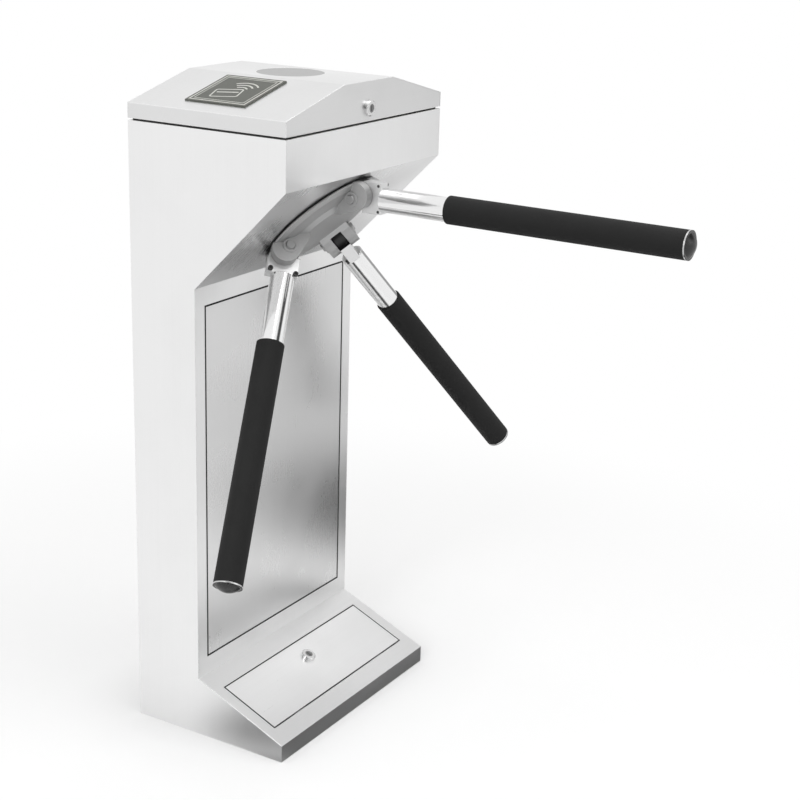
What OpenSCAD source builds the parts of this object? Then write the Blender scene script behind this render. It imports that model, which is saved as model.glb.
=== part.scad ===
// Tripod turnstile: a stainless cabinet with a card reader in its lid and three drop arms on a tilted hub.
// The origin is the centre of the cabinet's footprint on the floor. +Z is up and -Y faces the passage.
// The walk runs along X. Every size is in millimetres.

/* [Cabinet] */
// Width of the cabinet along the walk
body_w = 400; // [380:5:460]
// Depth of the cabinet across the passage
body_d = 268; // [262:2:300]
// Height of the lid's flat top above the floor
total_h = 980; // [960:5:1040]
// How far the recess under the head goes in
recess_d = 154; // [150:2:164]
// Height of the upright front face of the head
head_front_h = 72; // [66:2:90]
// Height of the upright toe of the foot
toe_h = 27; // [22:1:36]
// Rise of the sloping foot from the toe to the recess wall
foot_rise = 65; // [58:1:76]
// Thickness of the stainless sheet
sheet = 2; // [1.5:0.25:2.5]
// Thickness of the steel base plate
base_t = 4; // [3:0.5:6]

/* [Lid] */
// Rise of the lid's two slopes
lid_rise = 35; // [28:1:44]
// Height of the lid's upright sides
lid_side_h = 21.5; // [18:0.5:26]
// Width of the lid's flat ridge
ridge_w = 124; // [116:2:140]
// Height of the dark seam between the lid and the cabinet
seam_gap = 3; // [2.5:0.25:4]
// Width of the folded lips on both sides of the seam
lip_w = 14; // [11:0.5:16]
// Radius of the round indicator in the lid
lens_r = 49; // [40:1:52]
// Length of the reader plaque down the slope
plaque_l = 100; // [90:1:106]
// Width of the reader plaque along the depth
plaque_w = 102; // [92:1:112]

/* [Service covers] */
// Margin from the recess panel's seam to the cabinet's side
panel_margin_x = 23; // [20:1:34]
// Margin from the recess panel's seam to the top and bottom of the recess wall
panel_margin_z = 29; // [24:1:40]
// Gap round the covers
cover_gap = 1.5; // [1:0.25:2]
// Margin from the foot hatch's seam to the cabinet's side
hatch_margin_x = 21; // [18:1:30]
// Distance from the top of the foot's slope to the hatch's seam
hatch_from_top = 34; // [30:1:38]
// Length of the hatch down the slope
hatch_l = 103; // [96:1:108]

/* [Anchors] */
// Distance between the anchor bolts along the walk
anchor_x = 300; // [260:5:320]
// Distance between the anchor bolts across the passage
anchor_y = 180; // [150:5:200]
// Radius of an anchor hole
anchor_r = 7; // [5.5:0.5:9]

/* [Arms] */
// Distance from the arms' common point to an arm's tip
arm_reach = 618; // [560:5:640]
// Outer radius of an arm's tube
tube_r = 17.5; // [15:0.5:18.5]
// Wall of an arm's tube
tube_wall = 1.5; // [1.2:0.1:2.5]
// Outer radius of the soft sleeve
sleeve_r = 20; // [19:0.5:22]
// Bare length of tube between the root and the sleeve
bare_tube = 107; // [80:1:130]
// Width of an arm's root between the fork's cheeks
root_w = 18; // [16:1:22]
// Height of an arm's root
root_h = 50; // [46:1:52]
// Distance from the arms' common point to an arm's pivot
pivot_s = 108; // [107:0.5:111]
// Distance from the arms' common point to the end of an arm's root
root_end = 148; // [144:1:156]
// Radius of an arm's pivot pin
pin_r = 5; // [4:0.25:5.5]

/* [Hub] */
// Radius of the hub's rim
hub_r = 97; // [92:1:104]
// Gap between the hub's rim and the cabinet's face
hub_gap = 1.5; // [1.2:0.1:2.5]
// Thickness of a fork's cheek
cheek_t = 15; // [12:0.5:16]
// Radius of the main shaft
shaft_r = 12.5; // [11:0.25:13.5]

/* [Mechanism] */
// Depth from the hub's face to the mechanism plate
plate_depth = 14; // [13:0.5:17]
// Thickness of the mechanism plate
plate_t = 8; // [6:0.5:10]
// Length of the bearing housing behind its flange face
housing_l = 48; // [44:1:54]
// Thickness of the rear plate
rear_t = 6; // [5:0.5:8]
// Radius of the bearings
bearing_r = 26; // [24:0.5:28]
// Width of a bearing
bearing_w = 15; // [12:0.5:16]
// Radius of the index cam
cam_r = 50; // [46:0.5:52]
// Radius of the lock disc
lock_r = 58; // [56:0.5:60]
// Travel of a solenoid's plunger
plunger_travel = 7.2; // [6.5:0.1:7.6]

/* [Hidden] */
$fn = 48;

// Clearances: of turning fits, of bores on pins, of pieces slid together, and of pieces that move apart
running_fit = 0.02;
bore_fit = 0.05;
slide_fit = 0.3;
part_gap = 0.3;
// A cut goes this far past the face that it opens
past = 1;

// Heights of the cabinet's outline
fold_z = total_h - lid_rise;
seam_z = fold_z - lid_side_h - seam_gap / 2;
body_top = seam_z - seam_gap / 2;
lid_bottom = seam_z + seam_gap / 2;
corner_z = seam_z - head_front_h;
recess_z = corner_z - recess_d;
slope_z = toe_h + foot_rise;
front_y = -body_d / 2;
back_y = body_d / 2;
recess_y = front_y + recess_d;
inner_w = body_w - 2 * sheet;

// The cabinet's side outline as y, z points, anticlockwise from the toe
outline = [
    [front_y, 0], [back_y, 0], [back_y, body_top], [front_y, body_top],
    [front_y, corner_z], [recess_y, recess_z], [recess_y, slope_z], [front_y, toe_h]
];

function unit(v) = v / norm(v);
// Corner i of an outline moved inwards by d, so that sheets meet in a mitre
function inset(pts, i, d) =
    let (n = len(pts),
         e1 = unit(pts[i] - pts[(i + n - 1) % n]),
         e2 = unit(pts[(i + 1) % n] - pts[i]),
         n1 = [-e1[1], e1[0]],
         n2 = [-e2[1], e2[0]])
    pts[i] + d * (n1 + n2) / (1 + n1 * n2);
function inset_all(pts, d) = [for (i = [0:len(pts) - 1]) inset(pts, i, d)];

// The lid's end outline as x, z points, anticlockwise from its lower left corner
lid_outline = [
    [-body_w / 2, lid_bottom], [body_w / 2, lid_bottom], [body_w / 2, fold_z],
    [ridge_w / 2, total_h], [-ridge_w / 2, total_h], [-body_w / 2, fold_z]
];
lid_slope = atan2(lid_rise, (body_w - ridge_w) / 2);
slope_angle = atan2(foot_rise, recess_d);

// The hub's face is the 45 degree underside of the head, and the hub sits in the middle of it
hub_tilt = 45;
hub_y = front_y + recess_d / 2;
hub_z = corner_z - recess_d / 2;
// The arms' common point lies this far behind the face
apex_depth = 59;
// Turn of each arm about the hub's axis
arms = [0, 120, 240];

// Pieces of one solid overlap by this much where they join
weld_lap = 1;
// Folded ledges that the covers lie on
ledge_in = 10;
ledge_out = 12;
// Recess panel's opening
panel_w = body_w - 2 * panel_margin_x;
panel_z0 = slope_z + panel_margin_z;
panel_z1 = recess_z - panel_margin_z;
stud_r = 2.5;
stud_l = 10;
stud_x = panel_w / 2 - 6;
stud_inset = 30;
stud_z = [panel_z0 + stud_inset, (panel_z0 + panel_z1) / 2, panel_z1 - stud_inset];
nut_r = 5.5;
nut_t = 4;
// Foot hatch's opening and its two tilting tongues
hatch_w = body_w - 2 * hatch_margin_x;
tongue_x = 110;
tongue_w = 30;
tongue_l = 12;
tongue_lap = 14;
// Keeper that the hatch lock's cam goes under
hatch_keeper_w = 30;
hatch_edge_r = (sheet - part_gap) / 2;
// Cable entry in the base plate
entry_x = 120;
entry_y = 60;
entry_at_y = 70;

// Cam lock, the same in the lid and in the hatch
lock_head_r = 11.5;
lock_head_h = 5.5;
lock_chamfer = 1.5;
keyway_w = 1.6;
keyway_l = 8;
keyway_deep = 6;
plug_step = 0.3;
plug_end = 0.5;
lock_barrel_r = 9.5;
lock_barrel_l = 16;
hatch_barrel_l = 10;
lock_plug_r = 6;
lock_cam_t = 2.5;
lock_nut_r = 13;
lock_nut_t = 4;
lid_lock_z = lid_bottom + 18.5;
hatch_lock_in = 34;
hatch_lock_y = hatch_from_top + hatch_lock_in;
// The lid lock's hook closes round a pin under the head's rim
keeper_r = 28;
keeper_pin_r = 3;
keeper_w = 24;
keeper_h = 15;
keeper_t = 4;
hook_slot = 3.6;
hook_wall = 5.5;
// Angles of the hook: its open end, its closed end, and how far its slot goes
hook_open = 25;
hook_close = 62;
// The hatch lock's straight cam goes under a keeper at the top of the opening
cam_lap = 9;
hatch_cam_l = hatch_lock_in + cam_lap;
cam_w = 15;

// Lid hinge along the back
knuckle_r = 3.5;
hinge_pin_r = 1.75;
hinge_margin = 20;
hinge_l = body_w - 2 * hinge_margin;
hinge_parts = 9;
leaf_t = 1.5;
leaf_h = 18;
// Height of the strips between the knuckles and their leaf
strip_h = 5;
hinge_y = back_y + knuckle_r;

// Lens, plaque and reader
lens_lip = 5;
lens_t = 4.5;
led_h = 12;
led_inset = 4;
plaque_from_ridge = 14;
plaque_at_y = 4;
plaque_t = 2;
reader_margin = 8;
reader_h = 16;

// Arm parts
eye_r = 12;
eye_fit = 0.5;
block_start = 10;
root_low = 20;
stop_fit = 0.3;
neck_h = 24;
spigot_l = 26;
cap_t = 3;
cap_dome = 7;
cap_plug_l = 18;
sleeve_wall_fit = 0.1;
sleeve_s0 = root_end + bare_tube;
sleeve_s1 = arm_reach - cap_t - cap_dome;
cheek_w = root_w / 2 + slide_fit + cheek_t;
// A fork's lug: its length behind the pivot, and the middle and radius of its round end, as n, s from the pivot
lug_root = 38;
lug_end = [5, 6];
lug_r = 20;
// Points down the lug's open side, where the arm folds
lug_side = [[-12, 16], [-17.5, 4], [-21, -8], [-25, -18]];
// The boss on each side of a lug, and the pin's heads on the bosses
boss_r = 11;
boss_h = 2;
pin_head_r = 7;
pin_head_h = 3;
pin_chamfer = 1.2;
// The pin's heads sit this deep in the bosses
spot_face = 0.3;

// Depths behind the hub's face, front to back
plate_back = plate_depth + plate_t;
hub_boss_r = 32;
face_hole_r = hub_boss_r + 3;
hub_boss_end = plate_depth - 6;
flange_t = 10;
flange_r = 58;
housing_r = bearing_r + 12;
housing_front = plate_depth - 2;
housing_back = plate_back + housing_l;
front_bearing = plate_back - 4;
rear_bearing = housing_back - bearing_w;
rear_back = housing_back + rear_t;
cam_depth = rear_back + 4;
cam_t = 10;
lever_depth = cam_depth + cam_t + 1;
lever_t = 4;
lock_depth = lever_depth + lever_t + 1;
lock_t = 8;
encoder_depth = lock_depth + lock_t + 6;
encoder_t = 2;
encoder_r = 40;
damper_depth = encoder_depth + encoder_t + 8;
damper_plate_t = 4;
damper_back = damper_depth + damper_plate_t + 22;
damper_r = 30;
damper_edge = 8;
damper_lid = 2;
shaft_end = damper_back - 6;
spacer_r = 17;
collar_r = 16;
shaft_front = 10;
// The hub's front: its rim, the shallow dish inside the rim, and the low plateau in the middle
rim_t = 3;
rim_w = 8;
dish_h = 10;
dish_r = 60;
plateau_h = 15;
plateau_r = 50;

// Index lever: its roller drops into one of three notches of the cam
post_r = 5;
post_boss_r = 9;
lever_pivot = [-62, -70];
roller_r = 12;
roller_gap = 0.6;
notch_r = 14;
notch_at = cam_r + 8;
roller_at = [0, -(cam_r + roller_r + roller_gap)];
roller_pin_r = 4;
lever_w = 12;
// Pawls: a tooth beside each end of the lock disc's diameter
pawl_pivot = [lock_r + 12, 40];
tooth_gap = 1.5;
tooth_h = 10;
tooth_l = 6.5;
pawl_bar = 10;
tail = [34, 6];
slot_half = 10;
lock_notch = 10;
// Solenoids beside the disc, and their plungers' forks
plunger_r = 6;
plunger_pin_r = 2.5;
fork_t = 3;
solenoid_w = 30;
solenoid_y0 = -45;
solenoid_y1 = 20;
solenoid_h = 2 * (lock_depth + lock_t / 2 - rear_back);
plunger_x = pawl_pivot[0] + tail[0];
pin_y = pawl_pivot[1] + tail[1];
// Depth of a solenoid's closed end, room left behind its plunger, and the plunger's forked end
solenoid_end = 10;
plunger_room = 1;
fork_half = 7;
fork_foot = 12;
fork_neck = 8.5;
fork_top = 5;
// Half width and half height of the slot in a pawl's tail
tail_slot = [4.2, plunger_pin_r + 0.5];
tail_half = 5;
tail_end = 6;
// Encoder: its windows, and the forked sensor round its edge
window_in = 3;
window_l = 5;
window_half = 3;
sensor_half = 10;
sensor_reach = 18;
sensor_air = 1;
// Shaft nut
shaft_nut_t = 6;

// Places of the carriers on the plates
bolt_edge = 30;
bolt_at = [body_w / 2 - bolt_edge, 55];
pillar_at = [100, 60];
damper_pillar = [48, 68];
plate_edge = 12;
plate_half = [body_w / 2 - plate_edge, 85];
rear_half_x = 126;
rear_y0 = -85;
rear_y1 = 78;
// Brackets of the mechanism plate, welded to the side panels
bracket_t = 4;
bracket_w = 46;
bracket_flange = 36;
bracket_half = 80;
// Heads and nuts of the plate's bolts
bolt_head_r = 8.5;
bolt_head_t = 6;
// Screwed ends of the posts past what turns on them
post_end = 1.5;
pillar_r = 7;
// The bearings' rings and shields, and the web between them in their housing
bearing_lip = 3.5;
bearing_inner = 4;
bearing_shield = 1.5;
housing_web = 6;
// Control board on the back panel: its size, its standoffs, and its chips and connectors
board_w = 160;
board_t = 1.6;
board_x = -120;
board_z = body_top / 2 + 20;
board_gap = 12;
standoff_r = 4;
standoff_inset = 8;
connector = [80, 16];
connector_h = 14.4;
connector_at = [20, 10];
chip = [40, 40];
chip_h = 4.4;
chip_at = [30, 80];
relay = [30, 60];
relay_h = 20.4;
relay_at = [120, 60];
// Power supply on the back panel, with its terminals
supply = [160, 45, 150];
supply_z = 250;
terminals = [100, 20, 12];

steel = "silver";
bright = "gainsboro";
dark = "dimgray";

// Extrudes a y, z outline along X, centred
module along_x(w) {
    rotate([90, 0, 90]) linear_extrude(height = w, center = true) children();
}

// One sheet of the folded shell, from corner i of the outline to the next
module shell_sheet(i, w) {
    j = (i + 1) % len(outline);
    along_x(w) polygon([outline[i], outline[j], inset(outline, j, sheet), inset(outline, i, sheet)]);
}

// The hub's frame: local +Z comes out of the face along the hub's axis, local +Y climbs the face
module at_hub() {
    translate([0, hub_y, hub_z]) rotate([180 - hub_tilt, 0, 0]) children();
}

// An arm's frame: local +Z runs along the arm from the common point, local +X along its pivot
module at_arm(i) {
    at_hub() translate([0, 0, -apex_depth]) rotate([0, 0, -arms[i]]) rotate([-45, 0, 0]) children();
}

// The foot's frame: local +Z stands out of the slope, local -Y runs down it from its top edge
module at_slope() {
    translate([0, recess_y, slope_z]) rotate([slope_angle, 0, 0]) children();
}

// The reader's frame: local +Z stands out of the lid's left slope, local -X runs down it from the ridge
module at_lid_slope() {
    translate([-ridge_w / 2, 0, total_h]) rotate([0, -lid_slope, 0]) children();
}

// A round piece from depth d0 to the deeper d1 behind the hub's face
module disc(d0, d1, r) {
    translate([0, 0, -d1]) cylinder(h = d1 - d0, r = r);
}

// A flat piece from depth d0 to d1, over the given x and y ranges
module slab(d0, d1, x0, x1, y0, y1) {
    translate([x0, y0, -d1]) cube([x1 - x0, y1 - y0, d1 - d0]);
}

// A block between two corners
module block(a, b) {
    translate(a) cube(b - a);
}

module base_plate() {
    color(steel) difference() {
        block([-inner_w / 2, front_y + sheet, 0], [inner_w / 2, back_y - sheet, base_t]);
        for (x = [-1, 1], y = [-1, 1])
            translate([x * anchor_x / 2, y * anchor_y / 2, -past])
                cylinder(h = base_t + 2 * past, r = anchor_r);
        block([-entry_x / 2, entry_at_y - entry_y / 2, -past],
              [entry_x / 2, entry_at_y + entry_y / 2, base_t + past]);
    }
}

module side_panel(side) {
    color(steel) translate([side * (body_w - sheet) / 2, 0, 0]) along_x(sheet) polygon(outline);
}
module left_side_panel() side_panel(-1);
module right_side_panel() side_panel(1);

module back_panel() {
    color(steel) block([-inner_w / 2, back_y - sheet, 0], [inner_w / 2, back_y, body_top]);
}

// The head's upright face, with the pin that the lid lock's hook closes round
module front_panel() {
    pin_z = lid_lock_z - keeper_r;
    back = front_y + sheet;
    top = pin_z + keeper_pin_r + weld_lap;
    color(steel) {
        shell_sheet(3, inner_w);
        block([-keeper_w / 2, back - weld_lap, top - keeper_h], [keeper_w / 2, back + keeper_t, top]);
        translate([0, back, pin_z]) rotate([-90, 0, 0])
            cylinder(h = lock_barrel_l + lock_nut_t + keeper_t - weld_lap, r = keeper_pin_r);
    }
}

module hub_face_panel() {
    color(steel) difference() {
        shell_sheet(4, inner_w);
        at_hub() translate([0, 0, -sheet - past]) cylinder(h = sheet + 2 * past, r = face_hole_r);
    }
}

module recess_frame() {
    back = recess_y + 2 * sheet;
    color(steel) {
        difference() {
            shell_sheet(5, inner_w);
            block([-panel_w / 2, recess_y - past, panel_z0], [panel_w / 2, recess_y + sheet + past, panel_z1]);
        }
        difference() {
            block([-panel_w / 2 - ledge_out, recess_y + sheet - weld_lap, panel_z0 - ledge_out],
                  [panel_w / 2 + ledge_out, back, panel_z1 + ledge_out]);
            block([-panel_w / 2, recess_y, panel_z0], [panel_w / 2, recess_y + sheet, panel_z1]);
            block([-panel_w / 2 + ledge_in, recess_y, panel_z0 + ledge_in],
                  [panel_w / 2 - ledge_in, back + past, panel_z1 - ledge_in]);
            at_studs() cylinder(h = 4 * sheet, r = stud_r + slide_fit);
        }
    }
}

// The places of the recess panel's studs, pointing into the cabinet
module at_studs() {
    for (x = [-1, 1], z = stud_z)
        translate([x * stud_x, recess_y, z]) rotate([-90, 0, 0]) children();
}

module access_panel() {
    color(bright) {
        block([-panel_w / 2 + cover_gap, recess_y, panel_z0 + cover_gap],
              [panel_w / 2 - cover_gap, recess_y + sheet, panel_z1 - cover_gap]);
        at_studs() translate([0, 0, sheet - weld_lap]) cylinder(h = stud_l + weld_lap, r = stud_r);
    }
}

module foot_frame() {
    hy0 = -hatch_from_top;
    hy1 = hy0 - hatch_l;
    cam_top = -hatch_barrel_l - plug_end;
    color(steel) {
        difference() {
            union() {
                shell_sheet(6, inner_w);
                shell_sheet(7, inner_w);
            }
            at_slope() block([-hatch_w / 2, hy1, -sheet - past], [hatch_w / 2, hy0, past]);
        }
        at_slope() difference() {
            block([-hatch_w / 2 - ledge_out, hy1 - ledge_out, -2 * sheet],
                  [hatch_w / 2 + ledge_out, hy0 + ledge_out, -sheet + weld_lap]);
            block([-hatch_w / 2, hy1, -sheet], [hatch_w / 2, hy0, past]);
            block([-hatch_w / 2 + ledge_in, hy1 - ledge_out - past, -2 * sheet - past],
                  [hatch_w / 2 - ledge_in, hy0 - ledge_in, past]);
        }
        at_slope() block([-hatch_keeper_w / 2, hy0 - weld_lap, cam_top + part_gap],
                         [hatch_keeper_w / 2, hy0 + ledge_out, -2 * sheet + weld_lap]);
    }
}

module rim_ring(z0, z1, edge, w) {
    x = inner_w / 2 - edge;
    y = body_d / 2 - sheet - edge;
    difference() {
        block([-x, -y, z0], [x, y, z1]);
        block([-x + w, -y + w, z0 - past], [x - w, y - w, z1 + past]);
    }
}

module rim_frame() {
    color(steel) rim_ring(body_top - sheet, body_top, 0, lip_w);
}

module lid_seal() {
    color("black") rim_ring(body_top, lid_bottom - part_gap, 3, lip_w - 6);
}

// Nuts of the recess panel, and bolts with their nuts that hold the mechanism plate to its brackets
module cabinet_fasteners() {
    color(bright) {
        at_studs() translate([0, 0, 2 * sheet]) difference() {
            cylinder(h = nut_t, r = nut_r, $fn = 6);
            translate([0, 0, -past]) cylinder(h = nut_t + 2 * past, r = stud_r + running_fit);
        }
        at_bolts() {
            disc(plate_back, plate_back + bolt_head_t, bolt_head_r);
            disc(plate_depth - bracket_t - bolt_head_t, plate_back, post_r);
            disc(plate_depth - bracket_t - bolt_head_t, plate_depth - bracket_t, bolt_head_r);
        }
    }
}

// The places of the mechanism plate's bolts, in the hub's frame
module at_bolts() {
    at_hub() for (x = [-1, 1], y = [-1, 1]) translate([x * bolt_at[0], y * bolt_at[1], 0]) children();
}

module mechanism_brackets() {
    edge = inner_w / 2;
    color(steel) difference() {
        at_hub() for (s = [0, 1]) mirror([s, 0, 0]) {
            slab(plate_depth - bracket_t, plate_depth, edge - bracket_w, edge, -bracket_half, bracket_half);
            slab(plate_depth - bracket_t / 2, plate_depth + bracket_flange, edge - bracket_t, edge,
                 -bracket_half, bracket_half);
        }
        at_bolts() disc(0, plate_depth + past, post_r + slide_fit);
    }
}

module mechanism_plate() {
    color(dark) difference() {
        at_hub() slab(plate_depth, plate_back, -plate_half[0], plate_half[0], -plate_half[1], plate_half[1]);
        at_hub() disc(plate_depth - past, plate_back + past, housing_r + running_fit);
        at_bolts() disc(plate_depth - past, plate_back + past, post_r + slide_fit);
    }
}

module bearing_housing() {
    color(steel) at_hub() difference() {
        union() {
            disc(housing_front, housing_back, housing_r);
            disc(plate_back, plate_back + flange_t, flange_r);
        }
        disc(housing_front - past, front_bearing + bearing_w, bearing_r + running_fit);
        disc(rear_bearing, housing_back + past, bearing_r + running_fit);
        disc(housing_front - past, housing_back + past, bearing_r - housing_web);
    }
}

module bearing(d0) {
    difference() {
        disc(d0, d0 + bearing_w, bearing_r);
        disc(d0 - past, d0 + bearing_w + past, shaft_r + running_fit);
        for (d = [d0 - past, d0 + bearing_w - bearing_shield]) difference() {
            disc(d, d + bearing_shield + past, bearing_r - bearing_lip);
            disc(d - past, d + bearing_shield + 2 * past, shaft_r + bearing_inner);
        }
    }
}

module shaft_bearings() {
    color(bright) at_hub() {
        bearing(front_bearing);
        bearing(rear_bearing);
    }
}

module pillars_and_posts() {
    color(bright) at_hub() {
        for (x = [-1, 1], y = [-1, 1]) translate([x * pillar_at[0], y * pillar_at[1], 0])
            disc(plate_back, housing_back, pillar_r);
        for (s = [-1, 1]) translate([s * pawl_pivot[0], pawl_pivot[1], 0])
            disc(rear_back, lock_depth + lock_t + post_end, post_r);
        translate(lever_pivot) disc(rear_back, lever_depth + lever_t + post_end, post_r);
    }
}

module rear_plate() {
    color(dark) at_hub() difference() {
        slab(housing_back, rear_back, -rear_half_x, rear_half_x, rear_y0, rear_y1);
        disc(housing_back - past, rear_back + past, bearing_r - housing_web);
    }
}

module damper_bracket() {
    color(steel) at_hub() {
        for (s = [-1, 1]) translate([s * damper_pillar[0], damper_pillar[1], 0])
            disc(rear_back, damper_depth + damper_plate_t / 2, post_r);
        difference() {
            slab(damper_depth, damper_depth + damper_plate_t, -damper_pillar[0] - damper_edge,
                 damper_pillar[0] + damper_edge, -damper_r - damper_edge, damper_pillar[1] + damper_edge);
            disc(damper_depth - past, damper_depth + damper_plate_t + past, shaft_r + 1);
        }
    }
}

module rotary_damper() {
    color("black") at_hub() difference() {
        union() {
            disc(damper_depth + damper_plate_t, damper_back, damper_r);
            disc(damper_back - 1, damper_back + damper_lid, damper_r - damper_edge);
        }
        disc(damper_depth, shaft_end + 1, shaft_r + 2 * running_fit);
    }
}

module solenoids() {
    mid = rear_back + solenoid_h / 2;
    color("darkslategray") at_hub() for (s = [-1, 1]) translate([s * plunger_x, 0, 0]) difference() {
        slab(rear_back, rear_back + solenoid_h, -solenoid_w / 2, solenoid_w / 2, solenoid_y0, solenoid_y1);
        translate([0, solenoid_y0 + solenoid_end, -mid]) rotate([-90, 0, 0])
            cylinder(h = solenoid_y1 - solenoid_y0, r = plunger_r + slide_fit);
    }
}

module encoder_sensor() {
    d1 = encoder_depth + encoder_t + sensor_air;
    color("black") at_hub() difference() {
        slab(encoder_depth - 5 * sensor_air, damper_depth, -sensor_half, sensor_half,
             encoder_r - sensor_half, encoder_r + sensor_reach);
        slab(encoder_depth - sensor_air, d1, -sensor_half - past, sensor_half + past,
             0, encoder_r + 4 * sensor_air);
    }
}

// A piece on the control board: its place from the board's lower left corner, its size and its height
module on_board(at, size, h) {
    face = back_y - sheet - board_gap - board_t;
    x = board_x + at[0];
    z = board_z + at[1];
    block([x, face - h, z], [x + size[0], face + board_t / 2, z + size[1]]);
}

module control_board() {
    wall = back_y - sheet;
    in = standoff_inset;
    color("seagreen") {
        block([board_x, wall - board_gap - board_t, board_z],
              [board_x + board_w, wall - board_gap, board_z + board_w]);
        for (x = [in, board_w - in], z = [in, board_w - in])
            translate([board_x + x, wall - board_gap - board_t / 2, board_z + z]) rotate([-90, 0, 0])
                cylinder(h = board_gap + board_t / 2, r = standoff_r);
        on_board(connector_at, connector, connector_h);
        on_board(chip_at, chip, chip_h);
        on_board(relay_at, relay, relay_h);
    }
}

module power_supply() {
    wall = back_y - sheet;
    top = supply_z + supply[2];
    color("lightgray") {
        block([-supply[0] / 2, wall - supply[1], supply_z], [supply[0] / 2, wall, top]);
        block([10 - supply[0] / 2, wall - 2 * terminals[1], top - weld_lap],
              [10 - supply[0] / 2 + terminals[0], wall - terminals[1], top + terminals[2]]);
    }
}

// Knuckles of the lid's hinge: the even ones belong to the cabinet and the odd ones to the lid
module knuckles(first, sign) {
    step = hinge_l / hinge_parts;
    w = step - 2 * part_gap;
    z = seam_z + strip_h * sign;
    for (i = [first:2:hinge_parts - 1]) translate([-hinge_l / 2 + i * step + part_gap, 0, 0]) {
        translate([0, hinge_y, seam_z]) rotate([0, 90, 0]) cylinder(h = w, r = knuckle_r);
        block([0, back_y, min(seam_z, z)], [w, back_y + leaf_t, max(seam_z, z)]);
    }
}

module hinge_pin(r, extra) {
    translate([-hinge_l / 2 - extra, hinge_y, seam_z]) rotate([0, 90, 0])
        cylinder(h = hinge_l + 2 * extra, r = r);
}

module lid_hinge_fixed() {
    top = seam_z - strip_h;
    color(steel) {
        difference() {
            knuckles(0, -1);
            block([-hinge_l, back_y - past, seam_z], [hinge_l, back_y + leaf_t / 3, seam_z + 2 * strip_h]);
        }
        block([-hinge_l / 2, back_y, top - leaf_h], [hinge_l / 2, back_y + leaf_t, top]);
        hinge_pin(hinge_pin_r, 0);
    }
}

module lid_hinge_moving() {
    bottom = seam_z + strip_h;
    color(steel) {
        difference() {
            knuckles(1, 1);
            hinge_pin(hinge_pin_r + bore_fit, past);
            block([-hinge_l, back_y - past, seam_z - 2 * strip_h], [hinge_l, back_y + leaf_t / 3, seam_z]);
        }
        block([-hinge_l / 2, back_y, bottom], [hinge_l / 2, back_y + leaf_t, bottom + leaf_h - 2]);
    }
}

// A lug of the hub, in an arm's frame: a block round the pivot, with a boss on each side for the pin
module lug() {
    side = lug_end[0] + lug_r;
    translate([0, 0, pivot_s]) {
        // The outline's points are n, s from the pivot
        rotate([90, 0, 90]) linear_extrude(height = 2 * cheek_w, center = true) {
            translate(lug_end) circle(r = lug_r);
            polygon(concat([[-root_h / 2, -lug_root], [side, -lug_root], [side, lug_end[1]]], lug_side));
        }
        rotate([0, 90, 0]) cylinder(h = 2 * (cheek_w + boss_h), r = boss_r, center = true);
    }
}

// The slot clears the root from its place at rest to its folded place, and leaves the stop above the eye
module root_slot() {
    far = 2 * root_h;
    low = root_low + stop_fit;
    eye = eye_r + eye_fit;
    neck = neck_h / 2 + 1;
    start = block_start - stop_fit;
    // The outline's points are n, s from the pivot
    rotate([90, 0, 90]) linear_extrude(height = root_w + 2 * slide_fit, center = true) {
        polygon([
            [far, start], [far, far], [-far, far], [-far, -low], [-start, -low],
            [-start, -eye + 0.1], [0, -eye + 0.1], [0, 0], [neck, 0], [neck, start]
        ]);
        circle(r = eye);
    }
}

module hub_body() {
    rim = hub_gap + rim_t;
    color(bright) difference() {
        union() {
            at_hub() rotate_extrude() polygon([
                [0, -hub_boss_end], [hub_boss_r, -hub_boss_end], [hub_boss_r, hub_gap], [hub_r, hub_gap],
                [hub_r, rim], [hub_r - rim_w, rim + rim_t], [dish_r, dish_h],
                [plateau_r, plateau_h], [0, plateau_h]
            ]);
            for (i = [0:2]) at_arm(i) lug();
        }
        // Nothing of the lugs reaches behind the rim
        at_hub() translate([0, 0, hub_gap - hub_r]) difference() {
            cylinder(h = hub_r, r = 2 * hub_r);
            translate([0, 0, -past]) cylinder(h = hub_r + 2 * past, r = hub_boss_r);
        }
        for (i = [0:2]) at_arm(i) translate([0, 0, pivot_s]) {
            root_slot();
            rotate([0, 90, 0]) cylinder(h = 4 * cheek_w, r = pin_r + running_fit, center = true);
            for (s = [0, 1]) mirror([s, 0, 0]) translate([cheek_w + boss_h - spot_face, 0, 0])
                rotate([0, 90, 0]) cylinder(h = boss_h, r = pin_head_r + 1);
        }
        at_hub() translate([0, 0, -hub_boss_end - past])
            cylinder(h = shaft_front + hub_boss_end + past, r = shaft_r + running_fit);
    }
}

module main_shaft() {
    color(steel) at_hub() {
        translate([0, 0, -shaft_end]) cylinder(h = shaft_end + shaft_front - part_gap, r = shaft_r);
        disc(hub_boss_end, front_bearing - part_gap, collar_r);
    }
}

module index_cam() {
    color("slategray") at_hub() difference() {
        disc(cam_depth, cam_depth + cam_t, cam_r);
        disc(cam_depth - past, cam_depth + cam_t + past, shaft_r + running_fit);
        for (a = arms) rotate([0, 0, a - 90]) translate([notch_at, 0, 0])
            disc(cam_depth - past, cam_depth + cam_t + past, notch_r);
    }
}

module lock_disc() {
    color("slategray") at_hub() difference() {
        disc(lock_depth, lock_depth + lock_t, lock_r);
        disc(lock_depth - past, lock_depth + lock_t + past, shaft_r + running_fit);
        for (i = [0:5]) rotate([0, 0, 60 * i])
            slab(lock_depth - past, lock_depth + lock_t + past,
                 lock_r - lock_notch, lock_r + past, -slot_half, slot_half);
    }
}

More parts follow.
